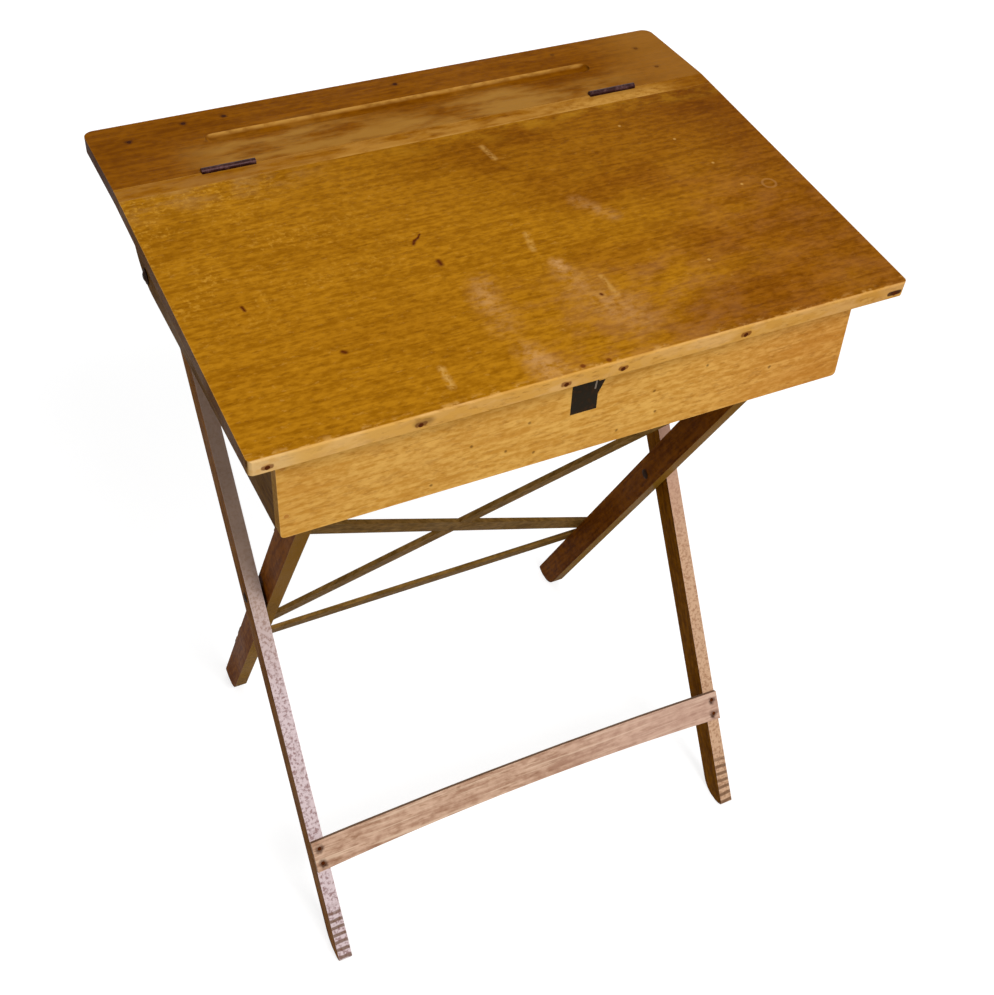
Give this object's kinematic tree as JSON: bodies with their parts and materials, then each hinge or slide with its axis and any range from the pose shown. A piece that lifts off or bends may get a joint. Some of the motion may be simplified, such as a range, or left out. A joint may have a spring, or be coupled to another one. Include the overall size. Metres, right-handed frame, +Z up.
{
  "type": "folding school desk",
  "caption": "Wooden school desk with a sloping lift lid on butt hinges, a pen groove in the rear rail, a shallow book box and crossed folding legs with a stretcher and lapped braces.",
  "frame": {"origin": "on the floor under the middle of the desk", "axes": "+X to the sitter's right, +Y away from the sitter towards the rear rail, +Z up"},
  "size_m": [0.6, 0.4555, 0.784],
  "materials": {
    "top_wood": "worn varnish",
    "box_wood": "worn varnish",
    "leg_wood": "worn varnish",
    "slat_wood": "worn varnish",
    "dark_iron": "dark, worn",
    "steel": "dull, aged"
  },
  "bodies": {
    "desk_box": {"front_panel": "box_wood", "rear_panel": "box_wood", "left_side_panel": "box_wood", "right_side_panel": "box_wood", "bottom_board": "box_wood", "front_bearer": "box_wood", "rear_rail": "top_wood", "lock_plate": "dark_iron", "left_hinge_rail_leaf": "dark_iron", "right_hinge_rail_leaf": "dark_iron", "left_hinge_pin": "dark_iron", "right_hinge_pin": "dark_iron", "rail_hinge_screws": "dark_iron", "rail_nails": "steel", "front_panel_nails": "steel", "bottom_nails": "steel", "bearer_nails": "steel", "left_leg_pivot": "steel", "right_leg_pivot": "steel", "leg_pivot_washers": "steel", "leg_spacers": "steel"},
    "lid": {"lid_panel": "top_wood", "lid_rear_strip": "top_wood", "lid_lipping": "top_wood", "lipping_nails": "steel", "left_hinge_lid_leaf": "dark_iron", "right_hinge_lid_leaf": "dark_iron", "lid_hinge_screws": "dark_iron"},
    "outer_legs": {"left_outer_leg": "leg_wood", "right_outer_leg": "leg_wood", "front_stretcher": "slat_wood", "stretcher_nails": "steel", "crossing_rivets": "steel", "crossing_washers": "steel"},
    "inner_legs": {"left_inner_leg": "leg_wood", "right_inner_leg": "leg_wood", "rising_brace": "slat_wood", "falling_brace": "slat_wood", "lower_rail": "slat_wood", "brace_nails": "steel"}
  },
  "joints": [
    {"name": "lid_hinge", "type": "hinge", "parent": "desk_box", "child": "lid", "pos_m": [0, 0.1205, 0.781], "axis": [-1, 0, 0], "range_deg": [0, 180]},
    {"name": "leg_swing", "type": "hinge", "parent": "desk_box", "child": "outer_legs", "pos_m": [0, 0.1765, 0.648], "axis": [1, 0, 0], "range_deg": [0, 118]},
    {"name": "leg_crossing", "type": "hinge", "parent": "outer_legs", "child": "inner_legs", "pos_m": [0, 0.00242, 0.35945], "axis": [1, 0, 0], "range_deg": [-59.6, 0]}
  ],
  "couplings": [
    {"joint": "leg_crossing", "follows": "leg_swing", "ratio": -0.50424}
  ]
}
